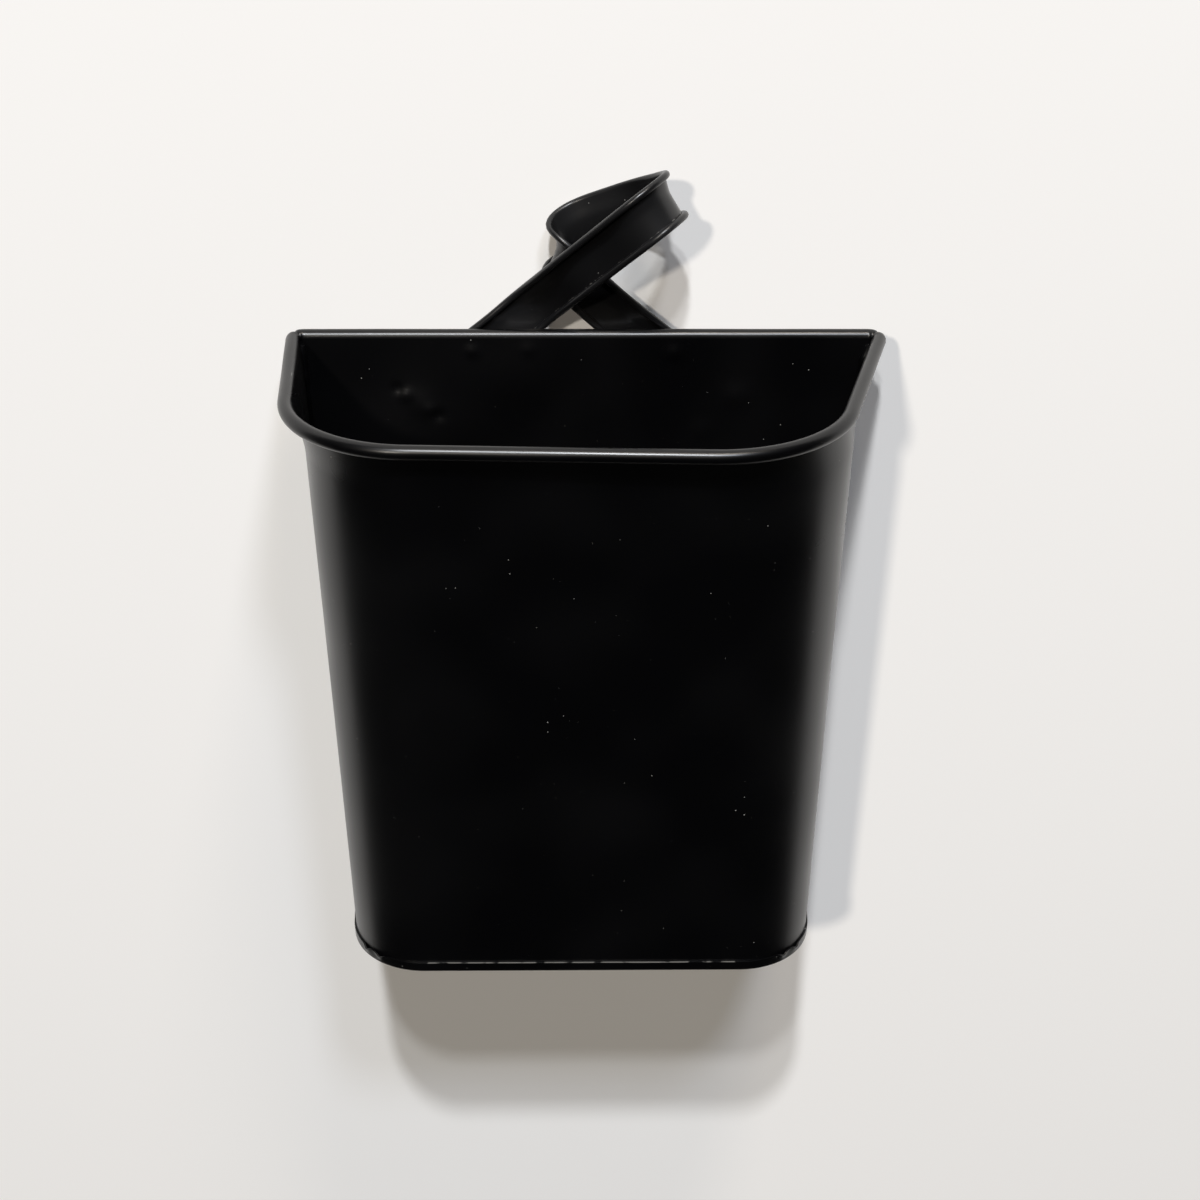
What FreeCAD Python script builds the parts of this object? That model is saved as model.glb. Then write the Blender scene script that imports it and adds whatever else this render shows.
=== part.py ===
import FreeCAD, Part
import math
import os

# Wall bucket of painted sheet steel. Millimetres, +Z up, front towards -Y, wall behind at +Y.
# The front face of the back panel lies on y = 0 and the underside of the base pan on z = 0.

# Stock
sheet = 0.7
rim_wire_radius = 2.2
rim_wire_play = 0.1
strap_sheet = 0.7
strap_wire_radius = 0.72
strap_wire_play = 0.08

# Inside of the body at the base
base_back_half = 104.4
base_front_half = 99.2
base_depth = 90.4
base_corner = 31.4

# Inside of the body at the rim, hand rolled and a little out of square
rim_height = 262.3
rim_back_left = 118.8
rim_back_right = 123.2
rim_front_left = 112.3
rim_front_right = 91.7
rim_depth_left = 110.4
rim_depth_right = 118.3
rim_corner_left = 48.8
rim_corner_right = 53.2
rim_back_corner = 1.6

# The band under the rim where the wall is drawn out or pinched in to meet the roll
flare_height = 20.0
flare_back_right = 3.3
flare_front_left = 5.6
flare_depth_right = 4.7
pinch_front_right = 8.7

# The roll ends short of the wall at this angle, counted from the outward direction
roll_end_degrees = 255.0

# Base pan, a tray turned up round the foot of the body
pan_flange = 4.8
pan_play = 0.12

# Seam beads in the two inner back corners
seam_leg = 2.6
seam_play = 0.22

# Hanger strap with a wired bead along both edges
strap_bead_spacing = 18.2
strap_bead_radius = 1.5
strap_curl_degrees = 190.0
strap_roll_play = 0.12
hanger_left = 31.4
hanger_right = 21.8
hanger_rise = 66.0
hanger_reach = 31.5
hanger_span = 68.0
hanger_start_rise = 1.4
foot_drop = 37.0
foot_run = 44.5
foot_tilt_degrees = 48.0
foot_weld_leg = 3.0
foot_weld_width = 11.0

# Course of the loop from the left leg to the right leg: across as a share of hanger_span from the left
# leg, forward as a share of hanger_reach, up as a share of hanger_rise, tilt of the width in degrees
loop_course_shares = (
    (0.135, 0.000, 0.147, 48.0),
    (0.276, 0.241, 0.311, 48.0),
    (0.396, 0.514, 0.462, 48.0),
    (0.640, 0.834, 0.725, 46.0),
    (0.861, 1.009, 0.942, 36.0),
    (0.990, 0.691, 0.999, 27.0),
    (0.976, 0.231, 0.936, 24.0),
    (0.825, -0.134, 0.836, 21.0),
    (0.607, -0.309, 0.732, 16.0),
    (0.410, -0.341, 0.640, 8.0),
    (0.301, -0.128, 0.559, -2.0),
    (0.335, 0.094, 0.471, -22.0),
    (0.474, 0.056, 0.313, -46.0),
    (0.646, -0.007, 0.139, -48.0),
)
# Course of each foot below the rim: drop and run as shares of foot_drop and foot_run, then the share of
# the way from the roll to the panel
foot_course_shares = ((0.27, 0.27, 0.0), (0.64, 0.64, 0.82), (0.82, 0.82, 1.0), (1.0, 1.0, 1.0))
# Between two points of its course the strap gets a section each time it has turned about this far
strap_turn_degrees = 24.0

# Arcs that each rounded corner of the wall is made of, and the width of the flats on beads and hidden wires
corner_parts = 8
flat_degrees = 30.0
wire_flat_degrees = 45.0

# Sizes that follow from those above
roll_bore = rim_wire_radius + rim_wire_play
roll_radius = roll_bore + sheet
strap_bore = strap_wire_radius + strap_wire_play
bead_rise = strap_bead_radius - strap_sheet / 2
bead_front = bead_rise + strap_bead_radius
strap_depth_at_roll = 2 * roll_radius + strap_roll_play + bead_front
strap_depth_at_panel = sheet + strap_roll_play + bead_front
neck_height = rim_height - flare_height
neck_share = neck_height / rim_height

Vec = FreeCAD.Vector
UP = Vec(0, 0, 1)


def between(low, high, share):
    """Number a share of the way from low to high."""
    return low + (high - low) * share


def base_plan():
    """Inside corners at z = 0, back left round the front to back right, and the two front radii."""
    corners = [
        (-base_back_half, 0),
        (-base_front_half, -base_depth),
        (base_front_half, -base_depth),
        (base_back_half, 0),
    ]
    return corners, [base_corner, base_corner]


def rim_plan():
    """Inside corners and front radii at the middle of the roll."""
    corners = [
        (-rim_back_left, 0),
        (-rim_front_left, -rim_depth_left),
        (rim_front_right, -rim_depth_right),
        (rim_back_right, 0),
    ]
    return corners, [rim_corner_left, rim_corner_right]


def mixed_plan(low, high, share):
    """Plan a share of the way between two plans."""
    corners = []
    for a, b in zip(low[0], high[0]):
        corners.append((between(a[0], b[0], share), between(a[1], b[1], share)))
    radii = [between(a, b, share) for a, b in zip(low[1], high[1])]
    return corners, radii


def neck_plan():
    """Inside corners and radii at the foot of the flared band."""
    corners, radii = mixed_plan(base_plan(), rim_plan(), neck_share)
    shifts = [
        (0, 0),
        (flare_front_left, 0),
        (pinch_front_right, flare_depth_right),
        (-flare_back_right, 0),
    ]
    moved = [(c[0] + s[0], c[1] + s[1]) for c, s in zip(corners, shifts)]
    return moved, radii


def wall_plan(z):
    """Inside plan of the straight part of the wall at height z."""
    return mixed_plan(base_plan(), neck_plan(), z / neck_height)


def unit(a, b):
    """Direction from a to b in plan."""
    length = math.hypot(b[0] - a[0], b[1] - a[1])
    return (b[0] - a[0]) / length, (b[1] - a[1]) / length


def crossing(p, d, q, e):
    """Point where the line through p along d meets the line through q along e."""
    scale = d[0] * e[1] - d[1] * e[0]
    along = ((q[0] - p[0]) * e[1] - (q[1] - p[1]) * e[0]) / scale
    return p[0] + along * d[0], p[1] + along * d[1]


def grown(plan, wall, back):
    """Plan moved outwards by wall on the sides and front and by back on the back."""
    corners, radii = plan
    amounts = [wall, wall, wall, back]
    lines = []
    for i, amount in enumerate(amounts):
        a = corners[i]
        b = corners[(i + 1) % 4]
        d = unit(a, b)
        lines.append(((a[0] + d[1] * amount, a[1] - d[0] * amount), d))
    moved = []
    for i in range(4):
        p, d = lines[i - 1]
        q, e = lines[i]
        moved.append(crossing(p, d, q, e))
    return moved, [r + wall for r in radii]


def corner_arc(a, b, c, radius):
    """Start, middle, end and centre of the arc that rounds the corner b of the course a, b, c."""
    back = unit(b, a)
    ahead = unit(b, c)
    half = math.acos(back[0] * ahead[0] + back[1] * ahead[1]) / 2
    setback = radius / math.tan(half)
    reach = radius / math.sin(half)
    middle = unit((0, 0), (back[0] + ahead[0], back[1] + ahead[1]))
    centre = (b[0] + middle[0] * reach, b[1] + middle[1] * reach)
    start = (b[0] + back[0] * setback, b[1] + back[1] * setback)
    end = (b[0] + ahead[0] * setback, b[1] + ahead[1] * setback)
    top = (centre[0] - middle[0] * radius, centre[1] - middle[1] * radius)
    return start, top, end, centre


def line(a, b, z):
    """Straight edge between two plan points at height z."""
    return Part.makeLine(Vec(a[0], a[1], z), Vec(b[0], b[1], z))


def turned(spot, centre, degrees):
    """Plan point turned about a centre."""
    angle = math.radians(degrees)
    across = spot[0] - centre[0]
    ahead = spot[1] - centre[1]
    x = centre[0] + across * math.cos(angle) - ahead * math.sin(angle)
    return x, centre[1] + across * math.sin(angle) + ahead * math.cos(angle)


def turn_between(start, end, centre):
    """Degrees from start to end about a centre."""
    first = unit(centre, start)
    last = unit(centre, end)
    return math.degrees(math.acos(first[0] * last[0] + first[1] * last[1]))


def arcs(corner, z):
    """Arc edges that make up a rounded corner at height z."""
    start, end, centre = corner[0], corner[2], corner[3]
    half = turn_between(start, end, centre) / (2 * corner_parts)
    edges = []
    for i in range(corner_parts):
        points = [turned(start, centre, half * (2 * i + k)) for k in range(3)]
        edges.append(Part.Arc(*[Vec(x, y, z) for x, y in points]).toShape())
    return edges


def wrap_edges(plan, z):
    """Edges of a plan from the back left corner round the front to the back right corner."""
    (bl, fl, fr, br), (left, right) = plan
    a = corner_arc(bl, fl, fr, left)
    b = corner_arc(fl, fr, br, right)
    side = [line(bl, a[0], z)] + arcs(a, z)
    return side + [line(a[2], b[0], z)] + arcs(b, z) + [line(b[2], br, z)]


def closed_wire(plan, z):
    """Whole outline of a plan at height z."""
    corners = plan[0]
    return Part.Wire(wrap_edges(plan, z) + [line(corners[3], corners[0], z)])


def wall_section(plan, z):
    """Outline of the wrapped wall sheet at height z, open towards the back."""
    outer = grown(plan, sheet, 0)
    inner_edges = wrap_edges(plan, z)
    outer_edges = wrap_edges(outer, z)
    right = line(outer[0][3], plan[0][3], z)
    left = line(plan[0][0], outer[0][0], z)
    return Part.Wire(outer_edges + [right] + inner_edges[::-1] + [left])


def roll_runs():
    """Front and back run of the roll's middle line as lengths with start, end and turning centre."""
    (bl, fl, fr, br), radii = grown(rim_plan(), roll_radius, roll_radius)
    turn = rim_back_corner + roll_radius
    left = corner_arc(br, bl, fl, turn)
    right = corner_arc(fr, br, bl, turn)
    a = corner_arc(bl, fl, fr, radii[0])
    b = corner_arc(fl, fr, br, radii[1])
    front = [
        (left[1], left[2], left[3]),
        (left[2], a[0], None),
        (a[0], a[2], a[3]),
        (a[2], b[0], None),
        (b[0], b[2], b[3]),
        (b[2], right[0], None),
        (right[0], right[1], right[3]),
    ]
    back = [(right[1], right[2], right[3]), (right[2], left[0], None), (left[0], left[1], left[3])]
    return front, back


def swept(run, section):
    """Solid of a section carried along the lengths of a run."""
    lengths = []
    for start, end, centre in run:
        if centre is None:
            way = unit(start, end)
            face = Part.Face(section(start, (way[1], -way[0])))
            lengths.append(face.extrude(Vec(end[0] - start[0], end[1] - start[1], 0)))
        else:
            face = Part.Face(section(start, unit(centre, start)))
            turn = turn_between(start, end, centre)
            lengths.append(face.revolve(Vec(centre[0], centre[1], 0), UP, turn))
    return lengths[0].fuse(lengths[1:]).removeSplitter()


def flats(first, last, width):
    """Angles from first to last in equal steps near the given width."""
    count = max(1, round(abs(last - first) / width))
    return [between(first, last, i / count) for i in range(count + 1)]


def outline(points):
    """Closed outline of straight edges."""
    return Part.makePolygon(points + [points[0]])


def roll_point(spot, outward, radius, degrees):
    """Point of the roll's section at an angle from the outward direction."""
    angle = math.radians(degrees)
    out = radius * math.cos(angle)
    return Vec(spot[0] + outward[0] * out, spot[1] + outward[1] * out, rim_height + radius * math.sin(angle))


def roll_section(spot, outward):
    """Section of the rolled edge, from the top of the wall over the wire and round under it."""
    turn = flats(180.0, roll_end_degrees - 360.0, flat_degrees)
    outer = [roll_point(spot, outward, roll_radius, degrees) for degrees in turn]
    inner = [roll_point(spot, outward, roll_bore, degrees) for degrees in turn]
    return outline(outer + inner[::-1])


def front_shell():
    """Wrapped front and sides with the rolled rim."""
    sections = [
        wall_section(wall_plan(sheet), sheet),
        wall_section(neck_plan(), neck_height),
        wall_section(rim_plan(), rim_height),
    ]
    wall = Part.makeLoft(sections, True, True).cut(roll_room())
    return wall.fuse(swept(roll_runs()[0], roll_section)).removeSplitter()


def back_panel():
    """Flat back with its own straight length of rolled rim."""
    levels = [(sheet, wall_plan(sheet)), (neck_height, neck_plan()), (rim_height, rim_plan())]
    left = []
    right = []
    for z, plan in levels:
        corners = grown(plan, sheet, 0)[0]
        left.append(Vec(corners[0][0], 0, z))
        right.append(Vec(corners[3][0], 0, z))
    panel = Part.Face(outline(left + right[::-1])).extrude(Vec(0, sheet, 0)).cut(roll_room())
    return panel.fuse(swept(roll_runs()[1], roll_section)).removeSplitter()


def disc_section(radius):
    """Maker of a round section of the given radius on the roll's middle line."""
    def section(spot, outward):
        """Ring round the middle line at one spot."""
        turn = flats(180.0, -180.0, wire_flat_degrees)[:-1]
        return outline([roll_point(spot, outward, radius, degrees) for degrees in turn])
    return section


def roll_room():
    """Room inside the roll that the walls keep clear of at the back corners."""
    front, back = roll_runs()
    return swept(front, disc_section(roll_bore)).fuse(swept(back, disc_section(roll_bore)))


def rim_wire(run):
    """Round wire inside one run of the rolled rim."""
    return swept(run, disc_section(rim_wire_radius))


def base_pan():
    """Flat tray turned up round the foot of the body."""
    gap = sheet + pan_play
    outer_low = grown(wall_plan(0), gap + sheet, gap + sheet)
    outer_high = grown(wall_plan(pan_flange), gap + sheet, gap + sheet)
    inner_low = grown(wall_plan(sheet), gap, gap)
    inner_high = grown(wall_plan(2 * pan_flange), gap, gap)
    block = Part.makeLoft([closed_wire(outer_low, 0), closed_wire(outer_high, pan_flange)], True, True)
    hollow = Part.makeLoft([closed_wire(inner_low, sheet), closed_wire(inner_high, 2 * pan_flange)], True, True)
    return block.cut(hollow)


def seam_corners(plan, left):
    """Corner, panel point and wall point of a seam bead in plan."""
    (bl, fl, fr, br), (left_radius, right_radius) = plan
    if left:
        spot, inward = bl, 1
        end = corner_arc(bl, fl, fr, left_radius)[0]
    else:
        spot, inward = br, -1
        end = corner_arc(fl, fr, br, right_radius)[2]
    low = base_plan()
    run = corner_arc(low[0][0], low[0][1], low[0][2], low[1][0])[0]
    share = seam_leg / math.hypot(run[0] - low[0][0][0], run[1] - low[0][0][1])
    steps = [(0, seam_play), (0, seam_leg), (share, seam_play)]
    return [(between(spot[0], end[0], s) + inward * x, between(spot[1], end[1], s)) for s, x in steps]


def seam_section(points, z):
    """Closed three-cornered section at height z."""
    return outline([Vec(x, y, z) for x, y in points])


def seam_weld(left):
    """Weld bead up one inner back corner, ending under the roll."""
    low = seam_corners(wall_plan(sheet), left)
    neck = seam_corners(neck_plan(), left)
    rim = seam_corners(rim_plan(), left)
    share = 1 - roll_radius / flare_height
    top = [(between(a[0], b[0], share), between(a[1], b[1], share)) for a, b in zip(neck, rim)]
    sections = [
        seam_section(low, sheet),
        seam_section(neck, neck_height),
        seam_section(top, rim_height - roll_radius),
    ]
    return Part.makeLoft(sections, True, True)


def strap_stations():
    """Middle points of the strap with the tilt of its width in degrees, foot to foot."""
    start = rim_height + hanger_start_rise
    depth = strap_depth_at_roll
    stations = []
    for drop, run, seat in foot_course_shares[::-1]:
        y = between(depth, strap_depth_at_panel, seat)
        spot = Vec(-hanger_left - foot_run * run, y, start - foot_drop * drop)
        stations.append((spot, foot_tilt_degrees))
    stations.append((Vec(-hanger_left, depth, start), foot_tilt_degrees))
    for across, forward, up, tilt in loop_course_shares:
        x = -hanger_left + across * hanger_span
        y = depth - forward * hanger_reach
        z = rim_height + up * hanger_rise
        stations.append((Vec(x, y, z), tilt))
    stations.append((Vec(hanger_right, depth, start), -foot_tilt_degrees))
    for drop, run, seat in foot_course_shares:
        y = between(depth, strap_depth_at_panel, seat)
        spot = Vec(hanger_right + foot_run * run, y, start - foot_drop * drop)
        stations.append((spot, -foot_tilt_degrees))
    return stations


def strap_curve():
    """Middle line of the strap as a curve, with the stops of its stations."""
    spots = [spot for spot, tilt in strap_stations()]
    stops = [0.0]
    for a, b in zip(spots, spots[1:]):
        stops.append(stops[-1] + a.distanceToPoint(b))
    middle = Part.BSplineCurve()
    first = (spots[1] - spots[0]).normalize()
    last = (spots[-1] - spots[-2]).normalize()
    middle.interpolate(Points=spots, Parameters=stops, InitialTangent=first, FinalTangent=last)
    return middle, stops


def strap_frame(middle, tilts, stop):
    """Place, width way and outward way of the strap at one stop."""
    along = Vec(*middle.tangent(stop)[0]).normalize()
    angle = math.radians(tilts.value(stop).y)
    width = Vec(-math.sin(angle), 0, math.cos(angle))
    width = (width - along * width.dot(along)).normalize()
    return middle.value(stop), width, along.cross(width)


def strap_frames():
    """Frames of the strap from foot to foot, close together where it bends or twists."""
    middle, stops = strap_curve()
    turns = [Vec(stop, tilt, 0) for stop, (spot, tilt) in zip(stops, strap_stations())]
    tilts = Part.BSplineCurve()
    tilts.interpolate(Points=turns, Parameters=stops)
    limit = math.radians(strap_turn_degrees)
    frames = [strap_frame(middle, tilts, stops[0])]
    for start, end in zip(stops, stops[1:]):
        goal = strap_frame(middle, tilts, end)
        turn = max(goal[1].getAngle(frames[-1][1]), goal[2].getAngle(frames[-1][2]))
        count = max(1, math.ceil(turn / limit))
        for i in range(count):
            frames.append(strap_frame(middle, tilts, between(start, end, (i + 1) / count)))
    return frames


def strap_point(frame, side, radius, degrees):
    """Point of a bead on one side of the strap, at an angle from the edge outwards round to the face."""
    spot, width, outward = frame
    angle = math.radians(degrees)
    across = side * (strap_bead_spacing / 2 + radius * math.cos(angle))
    return spot + width * across + outward * (bead_rise + radius * math.sin(angle))


def strap_section(frame):
    """Section of the strap: flat sheet with both edges curled over a wire."""
    turn = flats(-90.0, strap_curl_degrees, flat_degrees)
    upper = [strap_point(frame, 1, strap_bead_radius, degrees) for degrees in turn]
    upper_bore = [strap_point(frame, 1, strap_bore, degrees) for degrees in turn]
    lower = [strap_point(frame, -1, strap_bead_radius, degrees) for degrees in turn]
    lower_bore = [strap_point(frame, -1, strap_bore, degrees) for degrees in turn]
    return outline(upper + upper_bore[::-1] + lower_bore + lower[::-1])


def hanger_strap():
    """Strap with two wired beads, twisted into a loop above the rim."""
    return Part.makeLoft([strap_section(frame) for frame in strap_frames()], True, True)


def wire_section(frame, side):
    """Ring of the wire inside one bead of the strap."""
    turn = flats(-90.0, 270.0, wire_flat_degrees)[:-1]
    return outline([strap_point(frame, side, strap_wire_radius, degrees) for degrees in turn[::side]])


def strap_wire(side):
    """Round wire inside one bead of the strap."""
    return Part.makeLoft([wire_section(frame, side) for frame in strap_frames()], True, True)


def foot_weld(frame, way):
    """Three-sided weld between one end of the strap and the back of the panel."""
    spot, width, outward = frame
    along = width.cross(outward) * way
    flat = Vec(along.x, 0, along.z).normalize()
    toe = Vec(spot.x, sheet, spot.z) - width * (foot_weld_width / 2)
    top = Vec(toe.x, spot.y + strap_sheet / 2, toe.z)
    face = Part.Face(outline([toe, toe + flat * foot_weld_leg, top]))
    return face.extrude(width * foot_weld_width)


def hanger_foot_welds():
    """Both end welds of the strap."""
    frames = strap_frames()
    return Part.makeCompound([foot_weld(frames[0], -1), foot_weld(frames[-1], 1)])


pieces = {
    "front_shell": front_shell(),
    "back_panel": back_panel(),
    "base_pan": base_pan(),
    "front_rim_wire": rim_wire(roll_runs()[0]),
    "back_rim_wire": rim_wire(roll_runs()[1]),
    "left_seam_weld": seam_weld(True),
    "right_seam_weld": seam_weld(False),
    "hanger_strap": hanger_strap(),
    "strap_upper_wire": strap_wire(1),
    "strap_lower_wire": strap_wire(-1),
    "hanger_foot_welds": hanger_foot_welds(),
}

os.makedirs("parts", exist_ok=True)
for name, shape in pieces.items():
    shape.exportStep("parts/" + name + ".step")
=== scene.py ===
"""Wall bucket of black painted sheet steel: formed pieces, finishes, wall, light and camera."""
import logging
import math
import random
from dataclasses import dataclass, field, replace
from enum import Enum

import bmesh
import bpy
import numpy as np
from mathutils import Matrix, Vector, noise


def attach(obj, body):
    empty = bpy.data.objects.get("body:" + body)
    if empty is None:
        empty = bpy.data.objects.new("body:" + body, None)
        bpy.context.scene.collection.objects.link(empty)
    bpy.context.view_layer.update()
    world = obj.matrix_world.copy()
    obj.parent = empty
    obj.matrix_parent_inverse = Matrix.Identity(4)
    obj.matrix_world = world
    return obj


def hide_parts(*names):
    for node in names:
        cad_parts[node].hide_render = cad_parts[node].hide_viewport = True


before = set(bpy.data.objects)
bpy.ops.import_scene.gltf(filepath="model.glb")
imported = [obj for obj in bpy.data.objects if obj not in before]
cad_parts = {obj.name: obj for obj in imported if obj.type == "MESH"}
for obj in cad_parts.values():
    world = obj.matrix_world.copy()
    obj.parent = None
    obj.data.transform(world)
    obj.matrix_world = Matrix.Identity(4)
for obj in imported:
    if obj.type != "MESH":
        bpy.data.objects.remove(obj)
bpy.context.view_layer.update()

MM = 0.001
# Point attribute that marks where painted glints and highlights are laid on the paint.
BODY = "root"
PAINTED_GLINT = "painted_glint"
SMOOTH_DEGREES = 40.0

logging.basicConfig(level=logging.INFO, format="%(levelname)s %(message)s")
log = logging.getLogger("wall_bucket")

PlanPoint = tuple[float, float]
Ring = list[Vector]


class Caps(Enum):
    """Which end rings of a drawn-out piece are filled."""

    NONE = 0
    FIRST = 1
    BOTH = 2


class Side(Enum):
    """Side of the bucket as seen from the front."""

    LEFT = -1
    RIGHT = 1


def linear(code: str) -> tuple[float, float, float, float]:
    """Linear colour of an sRGB hex code.

    Args:
        code: six hex digits.

    Returns:
        Linear red, green, blue and an alpha of one.
    """
    parts = [int(code[i:i + 2], 16) / 255 for i in (0, 2, 4)]
    straight = [p / 12.92 if p <= 0.04045 else ((p + 0.055) / 1.055) ** 2.4 for p in parts]
    return straight[0], straight[1], straight[2], 1.0


def add_node(tree: bpy.types.NodeTree, kind: str, settings: dict | None = None,
             inputs: dict | None = None) -> bpy.types.Node:
    """Adds a node with its settings, input values and links.

    Args:
        tree: node tree that takes the node.
        kind: node type.
        settings: attributes of the node.
        inputs: input names or numbers with a value, or with an output socket to link from.

    Returns:
        The new node.
    """
    node = tree.nodes.new(kind)
    for name, value in (settings or {}).items():
        setattr(node, name, value)
    for name, value in (inputs or {}).items():
        if isinstance(value, bpy.types.NodeSocket):
            tree.links.new(value, node.inputs[name])
        else:
            node.inputs[name].default_value = value
    return node


def new_tree(name: str) -> tuple[bpy.types.Material, bpy.types.NodeTree]:
    """Empty node material.

    Args:
        name: material name.

    Returns:
        The material and its node tree.
    """
    material = bpy.data.materials.new(name)
    material.use_nodes = True
    material.node_tree.nodes.clear()
    return material, material.node_tree


def ramp(tree: bpy.types.NodeTree, value: bpy.types.NodeSocket, low: float, high: float,
         out_low: float = 0.0, out_high: float = 1.0) -> bpy.types.NodeSocket:
    """Value mapped from one range to another and held at its ends.

    Args:
        tree: node tree.
        value: socket to map.
        low: value that gives out_low.
        high: value that gives out_high.
        out_low: result at low.
        out_high: result at high.

    Returns:
        Output socket.
    """
    node = add_node(tree, "ShaderNodeMapRange", {"clamp": True}, {
        "Value": value, "From Min": low, "From Max": high, "To Min": out_low, "To Max": out_high})
    return node.outputs["Result"]


@dataclass(frozen=True)
class BlackPaint:
    """Satin black paint sprayed thinly over hand-formed sheet steel.

    The eye gets a near-black skin whose broad soft reflections wobble with the sheet, a faint
    orange peel, dust caught in the paint in loose groups, and painted glints of light steel grey along marked
    lines.
    """

    name: str = "satin_black_paint_on_steel"
    paint: str = "020203"
    # Tone of the rubbed patches in the paint.
    worn_and_glints: str = "050506"
    dust: str = "8d8c88"
    # Light steel grey of the painted glints and highlights.
    steel: str = "5f5e5b"
    roughness: float = 0.30
    peel_mm: float = 1.6
    wobble_mm: float = 55.0
    speck_mm: float = 3.6
    group_mm: float = 34.0
    # Length of the broken pieces of the painted glint lines.
    glint_mm: float = 7.0
    ior: float = 1.46

    def specks(self, tree: bpy.types.NodeTree, place: bpy.types.NodeSocket) -> bpy.types.NodeSocket:
        """Mask of the dust: small dots of uneven size, thick in some places and missing in others.

        Args:
            tree: node tree.
            place: object coordinates.

        Returns:
            Output socket, one on a dot.
        """
        cells = add_node(tree, "ShaderNodeTexVoronoi", {"feature": "F1"}, {
            "Vector": place, "Scale": 1 / (self.speck_mm * MM)})
        lot = add_node(tree, "ShaderNodeSeparateColor", {}, {"Color": cells.outputs["Color"]})
        groups = add_node(tree, "ShaderNodeTexNoise", {}, {
            "Vector": place, "Scale": 1 / (self.group_mm * MM), "Detail": 2.0}).outputs["Fac"]
        least = ramp(tree, groups, 0.38, 0.66, 0.95, 0.62)
        chosen = add_node(tree, "ShaderNodeMath", {"operation": "SUBTRACT"}, {
            0: lot.outputs["Red"], 1: least}).outputs["Value"]
        size = ramp(tree, chosen, 0.0, 0.3, 0.02, 0.08)
        return add_node(tree, "ShaderNodeMath", {"operation": "LESS_THAN"}, {
            0: cells.outputs["Distance"], 1: size}).outputs["Value"]

    def glint_lines(self, tree: bpy.types.NodeTree, place: bpy.types.NodeSocket) -> bpy.types.NodeSocket:
        """Mask of the painted glints along lines that carry the glint attribute, broken into lengths.

        Args:
            tree: node tree.
            place: object coordinates.

        Returns:
            Output socket, one on a painted glint.
        """
        edge = add_node(tree, "ShaderNodeAttribute", {"attribute_name": PAINTED_GLINT}).outputs["Fac"]
        lengths = add_node(tree, "ShaderNodeTexNoise", {}, {
            "Vector": place, "Scale": 1 / (self.glint_mm * MM), "Detail": 3.0}).outputs["Fac"]
        reach = add_node(tree, "ShaderNodeMath", {"operation": "MULTIPLY_ADD"}, {
            0: edge, 1: 0.3, 2: lengths}).outputs["Value"]
        return add_node(tree, "ShaderNodeMath", {"operation": "MULTIPLY"}, {
            0: ramp(tree, reach, 0.71, 0.77), 1: ramp(tree, edge, 0.1, 0.4)}).outputs["Value"]

    def build(self) -> bpy.types.Material:
        """Node material of the paint.

        Returns:
            The material.
        """
        material, tree = new_tree(self.name)
        place = add_node(tree, "ShaderNodeTexCoord").outputs["Object"]
        peel = add_node(tree, "ShaderNodeTexNoise", {}, {
            "Vector": place, "Scale": 1 / (self.peel_mm * MM), "Detail": 2.0}).outputs["Fac"]
        wobble = add_node(tree, "ShaderNodeTexNoise", {}, {
            "Vector": place, "Scale": 1 / (self.wobble_mm * MM), "Detail": 1.0}).outputs["Fac"]
        speck = self.specks(tree, place)
        glinting = self.glint_lines(tree, place)
        skin = add_node(tree, "ShaderNodeMix", {"data_type": "RGBA"}, {
            "Factor": ramp(tree, wobble, 0.4, 0.7), 6: linear(self.paint), 7: linear(self.worn_and_glints)}).outputs[2]
        dusty = add_node(tree, "ShaderNodeMix", {"data_type": "RGBA"}, {
            "Factor": speck, 6: skin, 7: linear(self.dust)}).outputs[2]
        # Painted glints: the light steel grey is laid over the paint wherever the glint mask is set.
        colour = add_node(tree, "ShaderNodeMix", {"data_type": "RGBA"}, {
            "Factor": glinting, 6: dusty, 7: linear(self.steel)}).outputs[2]
        gloss = ramp(tree, wobble, 0.3, 0.75, self.roughness - 0.03, self.roughness + 0.06)
        dull = add_node(tree, "ShaderNodeMath", {"operation": "MAXIMUM"}, {
            0: gloss, 1: speck}).outputs["Value"]
        waves = add_node(tree, "ShaderNodeBump", {}, {
            "Strength": 0.35, "Distance": 0.6 * MM, "Height": wobble}).outputs["Normal"]
        skin_bump = add_node(tree, "ShaderNodeBump", {}, {
            "Strength": 0.08, "Distance": 0.06 * MM, "Height": peel, "Normal": waves}).outputs["Normal"]
        shader = add_node(tree, "ShaderNodeBsdfPrincipled", {}, {
            "Base Color": colour, "Roughness": dull, "Normal": skin_bump, "IOR": self.ior})
        add_node(tree, "ShaderNodeOutputMaterial", {}, {"Surface": shader.outputs["BSDF"]})
        return material


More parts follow.
